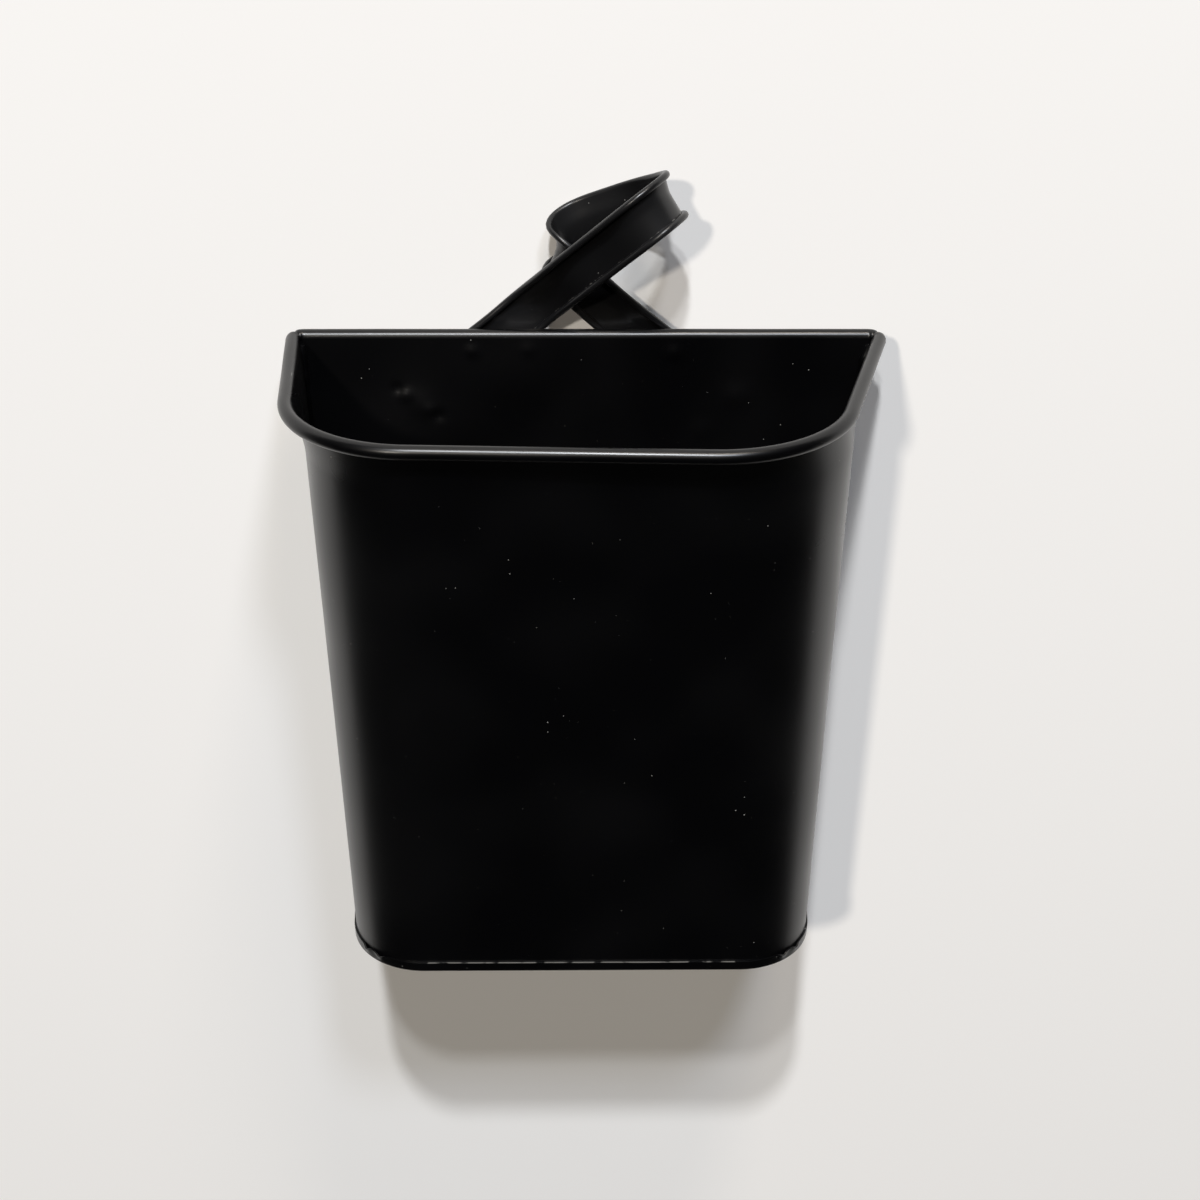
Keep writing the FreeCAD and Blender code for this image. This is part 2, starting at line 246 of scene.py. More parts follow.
@dataclass(frozen=True)
class DrawnWire:
    """Drawn mild steel wire: half-dull grey metal to the eye, with patches of brown bloom."""

    name: str = "drawn_mild_steel_wire"
    steel: str = "8b8a88"
    bloom: str = "5b4636"
    roughness: float = 0.38
    bloom_mm: float = 14.0

    def build(self) -> bpy.types.Material:
        """Node material of the wire.

        Returns:
            The material.
        """
        material, tree = new_tree(self.name)
        place = add_node(tree, "ShaderNodeTexCoord").outputs["Object"]
        stain = add_node(tree, "ShaderNodeTexNoise", {}, {
            "Vector": place, "Scale": 1 / (self.bloom_mm * MM), "Detail": 6.0}).outputs["Fac"]
        share = ramp(tree, stain, 0.52, 0.75)
        colour = add_node(tree, "ShaderNodeMix", {"data_type": "RGBA"}, {
            "Factor": share, 6: linear(self.steel), 7: linear(self.bloom)}).outputs[2]
        dull = ramp(tree, stain, 0.3, 0.8, self.roughness, self.roughness + 0.3)
        shader = add_node(tree, "ShaderNodeBsdfPrincipled", {}, {
            "Base Color": colour, "Roughness": dull, "Metallic": 1.0})
        add_node(tree, "ShaderNodeOutputMaterial", {}, {"Surface": shader.outputs["BSDF"]})
        return material


@dataclass(frozen=True)
class WallPaint:
    """Flat white emulsion on plaster: an even matt white with painted shade that greys it off to either side.
    """

    name: str = "white_emulsion_wall"
    white: str = "f3f2f0"
    # Grey of the painted shade towards the sides of the wall.
    far: str = "858482"
    fade_from: float = 0.5
    fade_to: float = 1.1

    def build(self) -> bpy.types.Material:
        """Node material of the wall, clear from behind so that the back of the bucket can be looked at.

        Returns:
            The material.
        """
        material, tree = new_tree(self.name)
        place = add_node(tree, "ShaderNodeNewGeometry")
        across = add_node(tree, "ShaderNodeSeparateXYZ", {}, {0: place.outputs["Position"]}).outputs["X"]
        aside = add_node(tree, "ShaderNodeMath", {"operation": "ABSOLUTE"}, {0: across}).outputs["Value"]
        # Painted shade: the white greys off with distance to either side.
        fade = ramp(tree, aside, self.fade_from, self.fade_to)
        colour = add_node(tree, "ShaderNodeMix", {"data_type": "RGBA"}, {
            "Factor": fade, 6: linear(self.white), 7: linear(self.far)})
        paint = add_node(tree, "ShaderNodeBsdfDiffuse", {}, {"Color": colour.outputs[2]}).outputs["BSDF"]
        clear = add_node(tree, "ShaderNodeBsdfTransparent").outputs["BSDF"]
        both = add_node(tree, "ShaderNodeMixShader", {}, {
            0: place.outputs["Backfacing"], 1: paint, 2: clear}).outputs["Shader"]
        add_node(tree, "ShaderNodeOutputMaterial", {}, {"Surface": both})
        return material


def deselect() -> None:
    """Leaves no object selected."""
    if bpy.context.object and bpy.context.object.mode != "OBJECT":
        bpy.ops.object.mode_set(mode="OBJECT")
    bpy.ops.object.select_all(action="DESELECT")


def place_ring(piece: bpy.types.Object, ring: Ring) -> None:
    """Moves the selected points of a piece in edit mode onto a ring, each by its number.

    Args:
        piece: object in edit mode.
        ring: points in metres.
    """
    shape = bmesh.from_edit_mesh(piece.data)
    number = shape.verts.layers.int["number"]
    for point in shape.verts:
        if point.select:
            point.co = ring[point[number]]
    bmesh.update_edit_mesh(piece.data)


def extruded(name: str, rings: list[Ring], closed: bool, caps: Caps,
             worn_and_glints: dict[int, float] | None = None) -> bpy.types.Object:
    """Piece drawn out ring by ring from a circle of points.

    Args:
        name: name of the piece.
        rings: rings of equal length, in metres.
        closed: whether each ring closes on itself.
        caps: end rings that are filled.
        worn_and_glints: numbers of the points along a ring that carry a painted glint, with its strength.

    Returns:
        The new piece, in object mode.
    """
    deselect()
    fill = "NOTHING" if caps is Caps.NONE else "NGON"
    bpy.ops.mesh.primitive_circle_add(vertices=len(rings[0]), radius=MM, fill_type=fill)
    piece = bpy.context.object
    piece.name = name
    piece.data.name = name
    bpy.ops.object.mode_set(mode="EDIT")
    bpy.ops.mesh.select_mode(type="VERT")
    bpy.ops.mesh.select_all(action="SELECT")
    shape = bmesh.from_edit_mesh(piece.data)
    number = shape.verts.layers.int.new("number")
    for i, point in enumerate(shape.verts):
        point[number] = i
    if not closed:
        last = len(rings[0]) - 1
        seam = [e for e in shape.edges if {v[number] for v in e.verts} == {0, last}]
        bmesh.ops.delete(shape, geom=seam, context="EDGES")
    bmesh.update_edit_mesh(piece.data)
    place_ring(piece, rings[0])
    for ring in rings[1:]:
        bpy.ops.mesh.extrude_region_move()
        place_ring(piece, ring)
    if caps is Caps.FIRST:
        bpy.ops.mesh.delete(type="ONLY_FACE")
    if caps is not Caps.NONE:
        bpy.ops.mesh.select_all(action="SELECT")
        bpy.ops.mesh.normals_make_consistent(inside=False)
    bpy.ops.object.mode_set(mode="OBJECT")
    numbers = [item.value for item in piece.data.attributes["number"].data]
    piece.data.attributes.remove(piece.data.attributes["number"])
    # Painted glints: the strength is stored on the points for the paint to read.
    if worn_and_glints:
        painted_glint = piece.data.attributes.new(PAINTED_GLINT, "FLOAT", "POINT")
        painted_glint.data.foreach_set("value", [worn_and_glints.get(number, 0.0) for number in numbers])
    return piece


def face_towards(piece: bpy.types.Object, spot: Vector, way: Vector) -> None:
    """Turns all faces of an open sheet so that the one nearest a spot faces a given way.

    Args:
        piece: sheet in object mode.
        spot: point near the face that decides.
        way: direction that face should have.
    """
    nearest = min(piece.data.polygons, key=lambda face: (face.center - spot).length)
    if nearest.normal.dot(way) < 0:
        bpy.ops.object.mode_set(mode="EDIT")
        bpy.ops.mesh.select_all(action="SELECT")
        bpy.ops.mesh.flip_normals()
        bpy.ops.object.mode_set(mode="OBJECT")


def apply_modifier(piece: bpy.types.Object, kind: str, **settings: object) -> None:
    """Adds a modifier to the active piece and applies it.

    Args:
        piece: active object.
        kind: modifier type.
        settings: modifier values.
    """
    modifier = piece.modifiers.new(kind.lower(), kind)
    for name, value in settings.items():
        setattr(modifier, name, value)
    bpy.ops.object.modifier_apply(modifier=modifier.name)


def thicken(piece: bpy.types.Object, sheet_mm: float) -> None:
    """Gives an open sheet its thickness on the side its faces turn away from.

    Args:
        piece: active sheet.
        sheet_mm: thickness.
    """
    apply_modifier(piece, "SOLIDIFY", thickness=sheet_mm * MM, offset=-1.0, use_even_offset=True)


def joined(pieces: list[bpy.types.Object], name: str) -> bpy.types.Object:
    """Joins pieces into the first of them.

    Args:
        pieces: objects to join.
        name: name of the result.

    Returns:
        The joined piece.
    """
    deselect()
    for piece in pieces:
        piece.select_set(True)
    bpy.context.view_layer.objects.active = pieces[0]
    bpy.ops.object.join()
    pieces[0].name = name
    pieces[0].data.name = name
    return pieces[0]


def hand_over(piece: bpy.types.Object, finish: bpy.types.Material, *nodes: str) -> None:
    """Smooths and paints a piece, rides it on the body and lets it stand for its nodes.

    Args:
        piece: finished piece.
        finish: its material.
        nodes: solids it stands for.
    """
    deselect()
    piece.select_set(True)
    bpy.context.view_layer.objects.active = piece
    bpy.ops.object.shade_smooth_by_angle(angle=math.radians(SMOOTH_DEGREES))
    piece.data.materials.clear()
    piece.data.materials.append(finish)
    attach(piece, BODY)
    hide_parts(*nodes)
    log.info("%s: %d faces for %s", piece.name, len(piece.data.polygons), ", ".join(nodes))


def between(low: float, high: float, share: float) -> float:
    """Number a share of the way from low to high."""
    return low + (high - low) * share


def heading(a: PlanPoint, b: PlanPoint) -> PlanPoint:
    """Unit direction from a to b in plan."""
    length = math.hypot(b[0] - a[0], b[1] - a[1])
    return (b[0] - a[0]) / length, (b[1] - a[1]) / length


@dataclass(frozen=True)
class Step:
    """One point of a run in plan with the way that faces out of the bucket, in millimetres."""

    spot: PlanPoint
    out: PlanPoint

    def moved(self, distance: float) -> PlanPoint:
        """Point moved outwards."""
        return self.spot[0] + self.out[0] * distance, self.spot[1] + self.out[1] * distance


def straight(a: PlanPoint, b: PlanPoint, count: int) -> list[Step]:
    """Even steps along a straight side, with the outside on the right.

    Args:
        a: start.
        b: end.
        count: number of lengths.

    Returns:
        Steps with both ends.
    """
    way = heading(a, b)
    out = (way[1], -way[0])
    shares = [i / count for i in range(count + 1)]
    return [Step((between(a[0], b[0], s), between(a[1], b[1], s)), out) for s in shares]


def rounded(a: PlanPoint, b: PlanPoint, c: PlanPoint, radius: float, count: int) -> list[Step]:
    """Steps round the corner b of the course a, b, c, turning left.

    Args:
        a: point before the corner.
        b: corner.
        c: point after the corner.
        radius: radius of the rounding.
        count: number of lengths.

    Returns:
        Steps with both ends.
    """
    back = heading(b, a)
    ahead = heading(b, c)
    half = math.acos(back[0] * ahead[0] + back[1] * ahead[1]) / 2
    middle = heading((0, 0), (back[0] + ahead[0], back[1] + ahead[1]))
    reach = radius / math.sin(half)
    centre = (b[0] + middle[0] * reach, b[1] + middle[1] * reach)
    sweep = math.pi - 2 * half
    first = math.atan2(-middle[1], -middle[0]) - sweep / 2
    steps = []
    for i in range(count + 1):
        angle = first + sweep * i / count
        out = (math.cos(angle), math.sin(angle))
        steps.append(Step((centre[0] + out[0] * radius, centre[1] + out[1] * radius), out))
    return steps


@dataclass(frozen=True)
class Plan:
    """Inside outline at one height: corners from back left round the front, and the front radii."""

    corners: tuple[PlanPoint, PlanPoint, PlanPoint, PlanPoint]
    radii: tuple[float, float]

    def mixed(self, other: "Plan", share: float) -> "Plan":
        """Plan a share of the way to another.

        Args:
            other: plan at the far end.
            share: from zero, this plan, to one, the other.

        Returns:
            The plan between.
        """
        pairs = zip(self.corners, other.corners)
        corners = tuple((between(a[0], b[0], share), between(a[1], b[1], share)) for a, b in pairs)
        radii = tuple(between(a, b, share) for a, b in zip(self.radii, other.radii))
        return Plan(corners, radii)

    def wrap(self, side: int, corner: int, front: int) -> list[Step]:
        """Steps from the back left corner round the front to the back right corner.

        Args:
            side: lengths along each side.
            corner: lengths round each front corner.
            front: lengths across the front.

        Returns:
            Steps in order.
        """
        bl, fl, fr, br = self.corners
        left = rounded(bl, fl, fr, self.radii[0], corner)
        right = rounded(fl, fr, br, self.radii[1], corner)
        steps = straight(bl, left[0].spot, side)[:-1] + left[:-1]
        steps += straight(left[-1].spot, right[0].spot, front)[:-1] + right[:-1]
        return steps + straight(right[-1].spot, br, side)


@dataclass(frozen=True)
class BodyForm:
    """Sizes of the body in millimetres, inside faces, hand rolled and a little out of square."""

    sheet: float = 0.7
    rim_height: float = 262.3
    flare_height: float = 20.0
    roll_radius: float = 3.0
    roll_end: float = -105.0
    back_corner: float = 1.6
    base: Plan = Plan(((-104.4, 0.0), (-99.2, -90.4), (99.2, -90.4), (104.4, 0.0)), (31.4, 31.4))
    rim: Plan = Plan(((-118.8, 0.0), (-112.3, -110.4), (91.7, -118.3), (123.2, 0.0)), (48.8, 53.2))
    neck_shift: tuple[PlanPoint, ...] = ((0.0, 0.0), (5.6, 0.0), (8.7, 4.7), (-3.3, 0.0))
    flare_ease: float = 1.35
    wall_rows: int = 26
    flare_rows: int = 8
    roll_steps: int = 26
    roll_unevenness: float = 0.018
    cut_ends: tuple[float, float] = (0.72, 0.95)

    @property
    def neck_height(self) -> float:
        """Height of the foot of the flared band."""
        return self.rim_height - self.flare_height

    def neck(self) -> Plan:
        """Plan at the foot of the flared band.

        Returns:
            The plan there, pinched in by hand at the front corners.
        """
        plan = self.base.mixed(self.rim, self.neck_height / self.rim_height)
        moved = tuple((c[0] + s[0], c[1] + s[1]) for c, s in zip(plan.corners, self.neck_shift))
        return Plan(moved, plan.radii)

    def plan_at(self, height: float) -> Plan:
        """Inside plan at a height.

        Args:
            height: height over the underside, in millimetres.

        Returns:
            The plan there.
        """
        if height <= self.neck_height:
            return self.base.mixed(self.neck(), height / self.neck_height)
        share = (height - self.neck_height) / self.flare_height
        return self.neck().mixed(self.rim, share ** self.flare_ease)

    def wall_heights(self) -> list[float]:
        """Heights of the rows of a wall, closer together in the flared band.

        Returns:
            Heights in millimetres from the base up.
        """
        low = [between(self.sheet, self.neck_height, i / self.wall_rows) for i in range(self.wall_rows)]
        shares = [i / self.flare_rows for i in range(self.flare_rows + 1)]
        return low + [between(self.neck_height, self.rim_height, share) for share in shares]

    def roll_ring(self, step: Step, share: float) -> Ring:
        """Section of the rolled edge at one step, from the wall over the top and round under.

        Args:
            step: place on the inside edge of the rim.
            share: part of the full radius that the hand-worked roll has there.

        Returns:
            Open ring in metres.
        """
        beat = noise.noise(Vector((step.spot[0] * 0.03, step.spot[1] * 0.03, 4.0)))
        radius = self.roll_radius * share * (1 + self.roll_unevenness * beat)
        ring = []
        for i in range(self.roll_steps + 1):
            angle = math.radians(between(180.0, self.roll_end, i / self.roll_steps))
            x, y = step.moved(radius * (1 + math.cos(angle)))
            ring.append(Vector((x, y, self.rim_height + radius * math.sin(angle))) * MM)
        return ring

    def roll_rings(self, steps: list[Step]) -> list[Ring]:
        """Sections along a run of the roll, drawn in at both ends where it is cut and welded.

        Args:
            steps: places on the inside edge of the rim.

        Returns:
            Open rings in metres.
        """
        full = [1.0] * (len(steps) - 2 * len(self.cut_ends))
        shares = [*self.cut_ends, *full, *self.cut_ends[::-1]]
        return [self.roll_ring(step, share) for step, share in zip(steps, shares)]


@dataclass
class FrontShell:
    """Wrapped front and sides with the rolled rim."""

    form: BodyForm = field(default_factory=BodyForm)
    side_steps: int = 14
    corner_steps: int = 26
    front_steps: int = 34
    back_corner_steps: int = 5
    # Number of the point along the roll's section where a line of painted glints runs near the inner top of
    # the rim, and its strength.
    glint_point: int = 5
    painted_glint: float = 0.45

    def wall(self) -> bpy.types.Object:
        """Sheet of the wall.

        Returns:
            The sheet with its thickness.
        """
        rows = []
        for height in self.form.wall_heights():
            steps = self.form.plan_at(height).wrap(self.side_steps, self.corner_steps, self.front_steps)
            rows.append([Vector((s.spot[0], s.spot[1], height)) * MM for s in steps])
        rings = [list(column) for column in zip(*rows)]
        sheet = extruded("front_wall", rings, closed=False, caps=Caps.NONE)
        face_towards(sheet, Vector((0, -0.1, 0.1)), Vector((0, 1, 0)))
        thicken(sheet, self.form.sheet)
        return sheet

    def roll(self) -> bpy.types.Object:
        """Sheet of the rolled rim from the middle of one back corner to the other.

        Returns:
            The sheet with its thickness.
        """
        form = self.form
        count = self.back_corner_steps
        bl, fl, fr, br = form.rim.corners
        left = rounded(br, bl, fl, form.back_corner, 2 * count)[count:]
        right = rounded(fr, br, bl, form.back_corner, 2 * count)[:count + 1]
        inner = Plan((left[-1].spot, fl, fr, right[0].spot), form.rim.radii)
        steps = left[:-1] + inner.wrap(self.side_steps, self.corner_steps, self.front_steps)[:-1] + right
        sheet = extruded("front_roll", form.roll_rings(steps), closed=False, caps=Caps.NONE,
                         worn_and_glints={self.glint_point: self.painted_glint})
        top = Vector((0, fr[1] - form.roll_radius, form.rim_height + form.roll_radius)) * MM
        face_towards(sheet, top, Vector((0, 0, 1)))
        thicken(sheet, form.sheet)
        return sheet

    def dress(self, paint: bpy.types.Material) -> None:
        """Builds and paints the shell."""
        hand_over(joined([self.wall(), self.roll()], "front_shell_sheet"), paint, "front_shell")


@dataclass(frozen=True)
class Dent:
    """Round dent in the panel: place across and up, radius and depth towards the wall, in millimetres."""

    across: float
    up: float
    radius: float
    depth: float

    def at(self, x: float, z: float) -> float:
        """Depth of the dent at a place."""
        apart = math.hypot(x - self.across, z - self.up) / self.radius
        return self.depth * math.exp(-apart * apart)


@dataclass
class BackPanel:
    """Flat back with its own rolled rim, dented where the strap is welded on behind it."""

    form: BodyForm = field(default_factory=BodyForm)
    columns: int = 150
    corner_steps: int = 5
    dented_from: float = 210.0
    plain_rows: int = 12
    dented_rows: int = 34
    dents: tuple[Dent, ...] = (
        Dent(-78.2, 239.2, 2.2, 1.0), Dent(-75.0, 236.8, 2.8, -1.1), Dent(-69.0, 232.5, 6.0, -0.8),
        Dent(-61.5, 227.0, 2.2, 1.0), Dent(-64.6, 229.6, 2.8, -0.8), Dent(-46.4, 256.6, 2.4, -0.8),
        Dent(-22.7, 257.2, 2.8, -0.5), Dent(39.2, 255.8, 3.0, -0.7), Dent(52.5, 220.1, 4.5, -0.4),
        Dent(66.7, 236.0, 5.5, -0.6))

    def heights(self) -> list[float]:
        """Heights of the rows, close together in the dented band.

        Returns:
            Heights in millimetres from the base up.
        """
        plain = [i / self.plain_rows for i in range(self.plain_rows)]
        dented = [i / self.dented_rows for i in range(self.dented_rows + 1)]
        low = [between(self.form.sheet, self.dented_from, share) for share in plain]
        return low + [between(self.dented_from, self.form.rim_height, share) for share in dented]

    def sheet_of_panel(self) -> bpy.types.Object:
        """Sheet of the flat panel.

        Returns:
            The dented sheet with its thickness.
        """
        form = self.form
        rows = []
        for height in self.heights():
            corners = form.plan_at(height).corners
            left, right = corners[0][0] - form.sheet, corners[3][0] + form.sheet
            row = []
            for i in range(self.columns + 1):
                x = between(left, right, i / self.columns)
                row.append(Vector((x, sum(dent.at(x, height) for dent in self.dents), height)) * MM)
            rows.append(row)
        rings = [list(column) for column in zip(*rows)]
        sheet = extruded("back_sheet", rings, closed=False, caps=Caps.NONE)
        face_towards(sheet, Vector((0, 0, 0.1)), Vector((0, -1, 0)))
        thicken(sheet, form.sheet)
        return sheet

    def roll(self) -> bpy.types.Object:
        """Sheet of the rolled rim along the back.

        Returns:
            The sheet with its thickness.
        """
        form = self.form
        bl, fl, fr, br = form.rim.corners
        count = self.corner_steps
        right = rounded(fr, br, bl, form.back_corner, 2 * count)[count:]
        left = rounded(br, bl, fl, form.back_corner, 2 * count)[:count + 1]
        steps = right[:-1] + straight(right[-1].spot, left[0].spot, self.columns)[:-1] + left
        sheet = extruded("back_roll", form.roll_rings(steps), closed=False, caps=Caps.NONE)
        top = Vector((0, form.roll_radius, form.rim_height + form.roll_radius)) * MM
        face_towards(sheet, top, Vector((0, 0, 1)))
        thicken(sheet, form.sheet)
        return sheet

    def dress(self, paint: bpy.types.Material) -> None:
        """Builds and paints the panel."""
        hand_over(joined([self.sheet_of_panel(), self.roll()], "back_panel_sheet"), paint, "back_panel")


@dataclass
class BasePan:
    """Tray turned up round the foot of the body, puckered at the corners, with a painted highlight along the
    front of its top edge.
    """

    form: BodyForm = field(default_factory=BodyForm)
    flange: float = 4.8
    play: float = 0.12
    fold: float = 0.8
    fold_shares: tuple[PlanPoint, ...] = ((0.0, 1.0), (0.07, 0.6), (0.3, 0.3), (0.6, 0.07))
    side_steps: int = 12
    corner_steps: int = 80
    front_steps: int = 60
    pucker_shares: tuple[float, ...] = (0.40, 0.57)
    pucker_reach: float = 5.0
    pucker_drop: float = 1.3
    pucker_out: float = 0.7
    waviness: float = 0.12

    def pucker(self, number: int) -> float:
        """How strongly the flange is puckered at a step, from zero to one.

        Args:
            number: number of the step from the back left corner.

        Returns:
            Strength at that step.
        """
        left = (number - self.side_steps) / self.corner_steps
        right = 1 - (number - self.side_steps - self.corner_steps - self.front_steps) / self.corner_steps
        arc = self.form.base.radii[0] * math.pi / 2
        apart = min(abs(place - share) * arc for place in (left, right) for share in self.pucker_shares)
        return math.exp(-(apart / self.pucker_reach * 2.4) ** 2)

    def ring(self, height: float, inset: float, lift: float) -> Ring:
        """Outside of the pan at one height.

        Args:
            height: height over the underside.
            inset: how far the fold draws in there.
            lift: share of the puckers that shows there.

        Returns:
            Closed ring in metres.
        """
        out = 2 * self.form.sheet + self.play - inset
        steps = self.form.plan_at(height).wrap(self.side_steps, self.corner_steps, self.front_steps)
        ring = []
        for number, step in enumerate(steps):
            strength = lift * self.pucker(number)
            wave = self.waviness * lift * noise.noise(Vector((step.spot[0] * 0.06, step.spot[1] * 0.06, 2.0)))
            spot = step.moved(out + self.pucker_out * strength + wave)
            ring.append(Vector((*spot, height - self.pucker_drop * strength)) * MM)
        ring[0].y = ring[-1].y = out * MM
        return ring

    def dress(self, paint: bpy.types.Material) -> None:
        """Builds and paints the pan, with a painted highlight along the straight front of its top edge.

        Args:
            paint: finish of the pan.
        """
        fold = self.fold
        turned = [(up * fold, inset * fold, 0.0) for up, inset in self.fold_shares]
        upright = [(fold, 0.0, 0.0), (self.flange / 2, 0.0, 0.1), (self.flange - 0.15, 0.0, 0.95),
                   (self.flange, 0.0, 1.0)]
        rings = [self.ring(*level) for level in turned + upright]
        pan = extruded("base_pan_sheet", rings, closed=True, caps=Caps.FIRST)
        face_towards(pan, Vector((0, 0, 0)), Vector((0, 0, -1)))
        thicken(pan, self.form.sheet)
        # Painted highlight: light steel grey along the top of the edge across the straight front, left off at
        # the corners.
        painted_glint = pan.data.attributes.new(PAINTED_GLINT, "FLOAT", "POINT")
        front = self.form.base.corners[2][0] - self.form.base.radii[1]
        for point in pan.data.vertices:
            worn_and_glints = point.co.z > (self.flange - 0.1) * MM and abs(point.co.x) < front * MM
            painted_glint.data[point.index].value = float(worn_and_glints)
        hand_over(pan, paint, "base_pan")


@dataclass(frozen=True)
class StrapForm:
    """Sizes and course of the hanger strap in millimetres."""

    sheet: float = 0.7
    bead_spacing: float = 18.2
    bead_radius: float = 1.5
    left: float = 31.4
    right: float = 21.8
    rise: float = 66.0
    reach: float = 31.5
    span: float = 68.0
    start_rise: float = 1.4
    foot_drop: float = 37.0
    foot_run: float = 44.5
    foot_tilt: float = 48.0
    roll_play: float = 0.12
    loop: tuple[tuple[float, float, float, float], ...] = (
        (0.135, 0.000, 0.147, 48.0), (0.276, 0.241, 0.311, 48.0), (0.396, 0.514, 0.462, 48.0),
        (0.640, 0.834, 0.725, 46.0), (0.861, 1.009, 0.942, 36.0), (0.990, 0.691, 0.999, 27.0),
        (0.976, 0.231, 0.936, 24.0), (0.825, -0.134, 0.836, 21.0), (0.607, -0.309, 0.732, 16.0),
        (0.410, -0.341, 0.640, 8.0), (0.301, -0.128, 0.559, -2.0), (0.335, 0.094, 0.471, -22.0),
        (0.474, 0.056, 0.313, -46.0), (0.646, -0.007, 0.139, -48.0))
    foot: tuple[PlanPoint, ...] = ((0.27, 0.0), (0.64, 0.82), (0.82, 1.0), (1.0, 1.0))

    def stations(self, body: BodyForm) -> list[tuple[np.ndarray, float]]:
        """Middle points and tilts of the width, foot to foot.

        Args:
            body: sizes of the body that the strap is welded to.

        Returns:
            Points in millimetres with a tilt in degrees.
        """
        front = 2 * self.bead_radius - self.sheet / 2
        depth = 2 * body.roll_radius + self.roll_play + front
        panel = body.sheet + self.roll_play + front
        start = body.rim_height + self.start_rise
        legs = []
        for edge, tilt in ((-self.left, self.foot_tilt), (self.right, -self.foot_tilt)):
            run = math.copysign(self.foot_run, edge)
            leg = [(np.array((edge, depth, start)), tilt)]
            for share, seat in self.foot:
                spot = (edge + run * share, between(depth, panel, seat), start - self.foot_drop * share)
                leg.append((np.array(spot), tilt))
            legs.append(leg)
        turns = []
        for across, forward, up, tilt in self.loop:
            x = -self.left + across * self.span
            spot = (x, depth - forward * self.reach, body.rim_height + up * self.rise)
            turns.append((np.array(spot), tilt))
        return legs[0][::-1] + turns + legs[1]


def spline(stops: np.ndarray, values: np.ndarray, at: np.ndarray) -> tuple[np.ndarray, np.ndarray]:
    """Smooth curve through values, straight at both ends.

    Args:
        stops: place of each value along the curve.
        values: rows of values.
        at: places wanted.

    Returns:
        Values and slopes at those places.
    """
    count = len(stops)
    step = np.diff(stops)[:, None]
    rise = np.diff(values, axis=0) / step
    matrix = np.zeros((count, count))
    right = np.zeros_like(values)
    for i in range(1, count - 1):
        matrix[i, i - 1], matrix[i, i + 1] = step[i, 0], step[i - 1, 0]
        matrix[i, i] = 2 * (step[i, 0] + step[i - 1, 0])
        right[i] = 3 * (step[i, 0] * rise[i - 1] + step[i - 1, 0] * rise[i])
    matrix[0, 0] = matrix[-1, -1] = 1
    right[0], right[-1] = rise[0], rise[-1]
    slopes = np.linalg.solve(matrix, right)
    index = np.clip(np.searchsorted(stops, at, side="right") - 1, 0, count - 2)
    h = step[index]
    t = (at - stops[index])[:, None] / h
    a, b, m, n = values[index], values[index + 1], slopes[index] * h, slopes[index + 1] * h
    spots = ((2 * t**3 - 3 * t**2 + 1) * a + (t**3 - 2 * t**2 + t) * m
             + (3 * t**2 - 2 * t**3) * b + (t**3 - t**2) * n)
    tangents = ((6 * t**2 - 6 * t) * (a - b) + (3 * t**2 - 4 * t + 1) * m + (3 * t**2 - 2 * t) * n) / h
    return spots, tangents


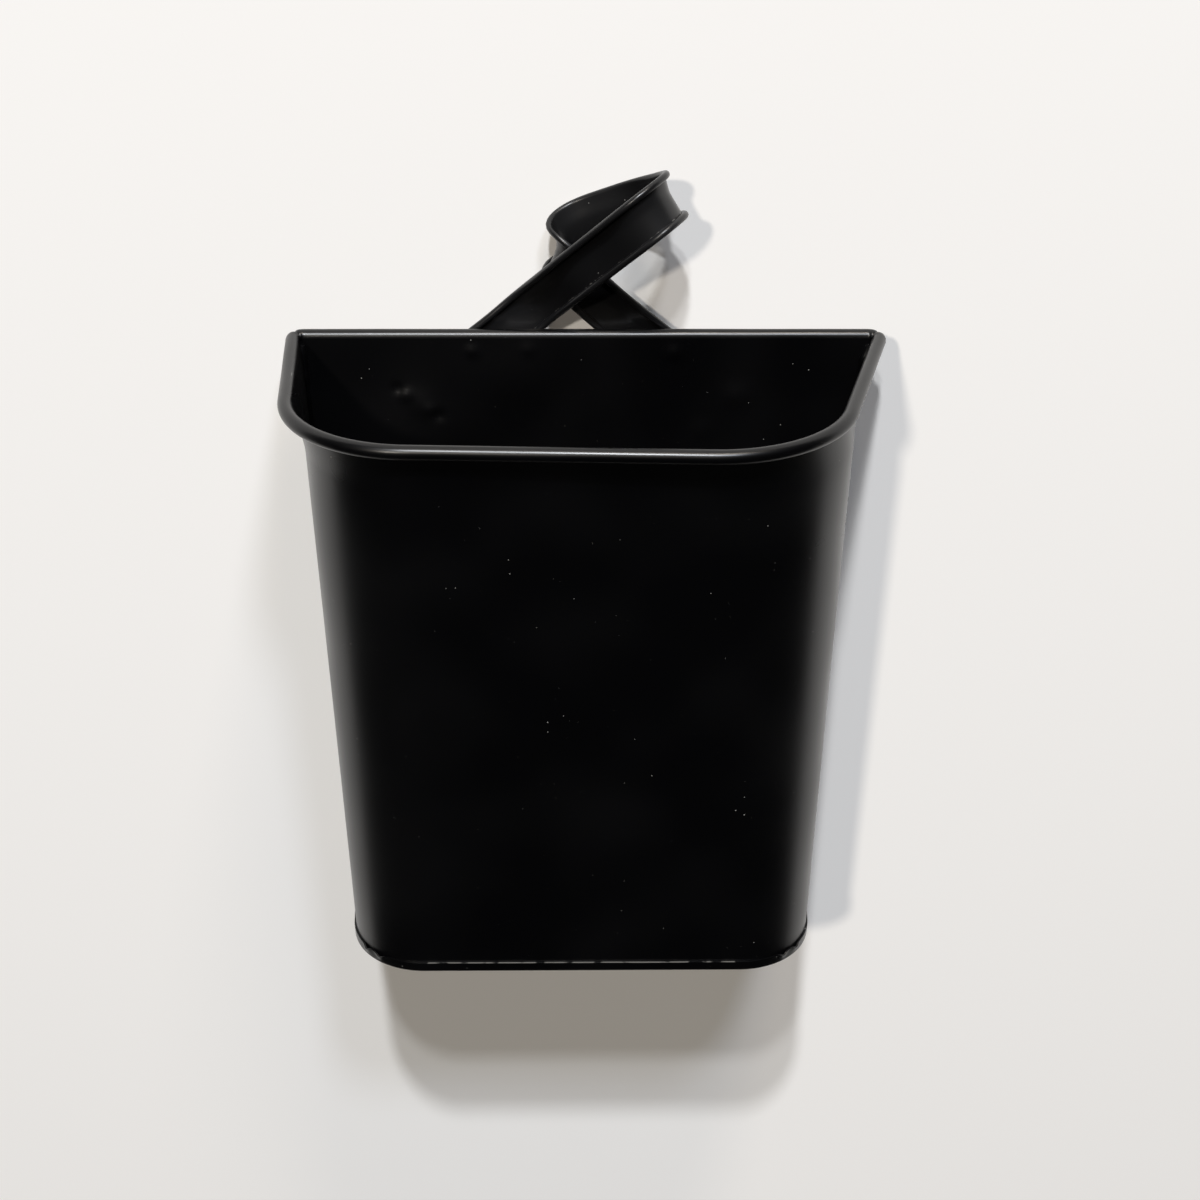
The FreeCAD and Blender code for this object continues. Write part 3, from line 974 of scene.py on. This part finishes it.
@dataclass
class HangerStrap:
    """Strap with a wired bead along both edges, twisted into a crossed loop and welded on behind."""

    form: StrapForm = field(default_factory=StrapForm)
    body: BodyForm = field(default_factory=BodyForm)
    stops: int = 220
    bead_steps: int = 16
    face_shares: tuple[float, ...] = (0.04, 0.16, 0.27, 0.34, 0.40, 0.47, 0.60, 0.78, 0.96)
    bead_turn: tuple[float, float] = (-90.0, 212.0)
    hollow: float = 0.9
    hollow_at: float = 0.37
    # Strength of the painted glints along the cut edge of the lower bead.
    painted_glint: float = 0.6

    def frames(self) -> list[tuple[Vector, Vector, Vector]]:
        """Places along the strap.

        Returns:
            Place in millimetres, way of the width and outward way at each.
        """
        rows = self.form.stations(self.body)
        spots = np.array([row[0] for row in rows])
        along = np.concatenate(([0.0], np.cumsum(np.linalg.norm(np.diff(spots, axis=0), axis=1))))
        at = np.linspace(0.0, along[-1], self.stops + 1)
        middle, tangent = spline(along, spots, at)
        tilts, _ = spline(along, np.array([[row[1]] for row in rows]), at)
        frames = []
        for place, way, tilt in zip(middle, tangent, np.radians(tilts[:, 0])):
            ahead = Vector(way).normalized()
            width = Vector((-math.sin(tilt), 0, math.cos(tilt)))
            width = (width - ahead * width.dot(ahead)).normalized()
            frames.append((Vector(place), width, ahead.cross(width)))
        return frames

    def sink(self, share: float) -> float:
        """Depth of the hollow in millimetres at a share of the width, from the upper bead down."""
        slope = min(share / self.hollow_at, (1 - share) / (1 - self.hollow_at))
        return self.hollow * slope * (1.12 - 0.12 * slope**6)

    def section(self, place: Vector, width: Vector, outward: Vector) -> Ring:
        """Outline of the strap at one place: a face hollow across, a bead on each edge of the front.

        Args:
            place: middle of the sheet, in millimetres.
            width: way of the width, up to the upper bead.
            outward: way that the beads stand out.

        Returns:
            Closed ring in metres.
        """
        form = self.form
        rise = form.bead_radius - form.sheet / 2
        shares = [i / self.bead_steps for i in range(self.bead_steps + 1)]
        angles = [math.radians(between(*self.bead_turn, share)) for share in shares]
        beads = []
        for side in (1, -1):
            bead = []
            for angle in angles[::side]:
                across = side * (form.bead_spacing / 2 + form.bead_radius * math.cos(angle))
                height = rise + form.bead_radius * math.sin(angle)
                bead.append(place + width * across + outward * height)
            beads.append(bead)
        upper, lower = beads
        face = [upper[-1].lerp(lower[0], share) - outward * self.sink(share) for share in self.face_shares]
        back = [point - outward * form.sheet for point in face[::-1]]
        return [point * MM for point in upper + face + lower + back]

    def dress(self, paint: bpy.types.Material) -> None:
        """Builds and paints the strap, with painted glints along the cut edge of the lower bead.

        Args:
            paint: finish of the strap.
        """
        rings = [self.section(*row) for row in self.frames()]
        cut = self.bead_steps + 1 + len(self.face_shares)
        strap = extruded("hanger_strap_formed", rings, closed=True, caps=Caps.BOTH, worn_and_glints={cut: self.painted_glint})
        hand_over(strap, paint, "hanger_strap", "strap_upper_wire", "strap_lower_wire")


@dataclass
class SeamWeld:
    """Uneven weld up one inner back corner."""

    side: Side
    body: BodyForm = field(default_factory=BodyForm)
    leg: float = 2.6
    rows: int = 130
    points: int = 9

    def rings(self) -> list[Ring]:
        """Outlines of the weld from the base up to the rim, each a corner with a quarter round.

        Returns:
            Closed rings in metres.
        """
        dice = random.Random(11 + self.side.value)
        top = self.body.rim_height - self.body.roll_radius
        inward = -self.side.value
        rings = []
        for i in range(self.rows + 1):
            height = between(self.body.sheet, top, i / self.rows)
            steps = self.body.plan_at(height).wrap(1, 1, 1)
            step = steps[0] if self.side is Side.LEFT else steps[-1]
            along = Vector((-step.out[1] * inward, step.out[0] * inward, 0))
            if along.y > 0:
                along = -along
            swell = noise.noise(Vector((0, self.side.value, height * 0.12)))
            leg = self.leg * (0.72 + 0.45 * swell + 0.9 * dice.uniform(-0.12, 0.12))
            corner = Vector((step.spot[0], step.spot[1], height))
            ring = [corner * MM]
            for k in range(self.points):
                angle = math.radians(90 * k / (self.points - 1))
                spread = Vector((inward, 0, 0)) * math.cos(angle) + along * math.sin(angle)
                ring.append((corner + spread * leg) * MM)
            rings.append(ring)
        return rings

    def dress(self, paint: bpy.types.Material) -> None:
        """Builds and paints the weld.

        Args:
            paint: finish of the weld.
        """
        name = f"{self.side.name.lower()}_seam_weld"
        weld = extruded(name + "_bead", self.rings(), closed=True, caps=Caps.BOTH)
        hand_over(weld, paint, name)


@dataclass(frozen=True)
class Lamp:
    """Soft lamp given by its way and distance from the bucket and the light it puts on the wall."""

    name: str
    way: tuple[float, float, float]
    distance: float
    size: float
    level: float
    colour: str

    def build(self, aim: Vector) -> None:
        """Hangs the lamp.

        Args:
            aim: point it faces, in metres.
        """
        way = Vector(self.way).normalized()
        data = bpy.data.lights.new(self.name, "AREA")
        data.shape = "DISK"
        data.size = self.size
        data.energy = self.level * (math.pi * self.distance) ** 2 / -way.y
        data.color = linear(self.colour)[:3]
        lamp = bpy.data.objects.new(self.name, data)
        lamp.location = aim + way * self.distance
        lamp.rotation_euler = (-way).to_track_quat("-Z", "Y").to_euler()
        bpy.context.scene.collection.objects.link(lamp)
        log.info("%s: %.1f W", self.name, data.energy)


@dataclass(frozen=True)
class Studio:
    """Wall behind the bucket, lamps and camera, in metres."""

    wall_y: float = 0.0236
    wall_size: float = 8.0
    camera_spot: tuple[float, float, float] = (-0.0077272, -0.89253, 0.61918)
    yaw: float = 0.0182
    pitch: float = -0.4955
    roll: float = 0.0066
    focal_mm: float = 67.79
    sensor_mm: float = 36.0
    aim: tuple[float, float, float] = (0.0, 0.0, 0.15)
    room: str = "f4f4f4"
    room_light: float = 0.015
    room_seen: float = 0.9
    lamps: tuple[Lamp, ...] = (
        Lamp("front_left_lamp", (-0.35, -1.0, 0.52), 8.0, 0.45, 0.30, "fff6e9"),
        Lamp("front_top_lamp", (-0.09, -1.0, 1.49), 7.0, 0.34, 0.32, "fafcff"),
        Lamp("front_second_lamp", (-0.09, -1.0, 1.20), 7.0, 0.34, 0.15, "fafcff"),
        Lamp("right_top_lamp", (0.28, -1.0, 1.35), 7.0, 0.85, 0.15, "e6efff"),
        Lamp("ceiling_lamp", (0.45, -1.0, 3.0), 4.5, 0.90, 0.09, "fff2e2"))

    def wall(self) -> None:
        """Plain wall that the bucket hangs on."""
        deselect()
        bpy.ops.mesh.primitive_plane_add(size=self.wall_size, location=(0, self.wall_y, 0),
                                         rotation=(math.pi / 2, 0, 0))
        wall = bpy.context.object
        wall.name = "plaster_wall"
        bpy.ops.object.transform_apply(location=True, rotation=True, scale=True)
        wall.data.materials.append(WallPaint().build())
        wall.visible_shadow = False

    def camera(self) -> None:
        """Camera at the photograph's place and angle."""
        flat = math.cos(self.pitch)
        ahead = Vector((math.sin(self.yaw) * flat, math.cos(self.yaw) * flat, math.sin(self.pitch)))
        level = Vector((math.cos(self.yaw), -math.sin(self.yaw), 0))
        above = level.cross(ahead)
        right = level * math.cos(self.roll) + above * math.sin(self.roll)
        up = above * math.cos(self.roll) - level * math.sin(self.roll)
        data = bpy.data.cameras.new("camera")
        data.sensor_width = self.sensor_mm
        data.lens = self.focal_mm
        camera = bpy.data.objects.new("camera", data)
        turn = Matrix((right, up, -ahead)).transposed().to_4x4()
        camera.matrix_world = Matrix.Translation(self.camera_spot) @ turn
        bpy.context.scene.collection.objects.link(camera)
        bpy.context.scene.camera = camera

    def world(self) -> None:
        """Pale to the camera, dim to everything else."""
        world = bpy.data.worlds.new("room")
        bpy.context.scene.world = world
        world.use_nodes = True
        tree = world.node_tree
        tree.nodes.clear()
        seen = add_node(tree, "ShaderNodeLightPath").outputs["Is Camera Ray"]
        strength = ramp(tree, seen, 0.0, 1.0, self.room_light, self.room_seen)
        back = add_node(tree, "ShaderNodeBackground", {}, {"Color": linear(self.room), "Strength": strength})
        add_node(tree, "ShaderNodeOutputWorld", {}, {"Surface": back.outputs["Background"]})

    def dress(self) -> None:
        """Sets up the whole studio."""
        self.wall()
        self.world()
        for lamp in self.lamps:
            lamp.build(Vector(self.aim))
        self.camera()
        bpy.context.scene.view_settings.view_transform = "Standard"


def main() -> None:
    """Builds every piece in order and reports it."""
    paint = BlackPaint().build()
    # Lighter copy of the black paint for the strap: a painted sheen for the light its faces catch, with
    # shorter painted glints.
    strap_paint_with_painted_sheen = replace(BlackPaint(), name="satin_black_paint_with_painted_sheen_on_strap", paint="101011", worn_and_glints="1b1b1c",
                          glint_mm=1.8)
    wire = DrawnWire().build()
    FrontShell().dress(paint)
    BackPanel().dress(paint)
    BasePan().dress(paint)
    HangerStrap().dress(strap_paint_with_painted_sheen.build())
    for side in Side:
        SeamWeld(side).dress(paint)
    finishes = {"front_rim_wire": wire, "back_rim_wire": wire, "hanger_foot_welds": paint}
    for name, finish in finishes.items():
        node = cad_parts[name]
        node.data.materials.clear()
        node.data.materials.append(finish)
        log.info("%s: solid kept, finished as %s", name, finish.name)
    Studio().dress()


if __name__ == "__main__":
    main()
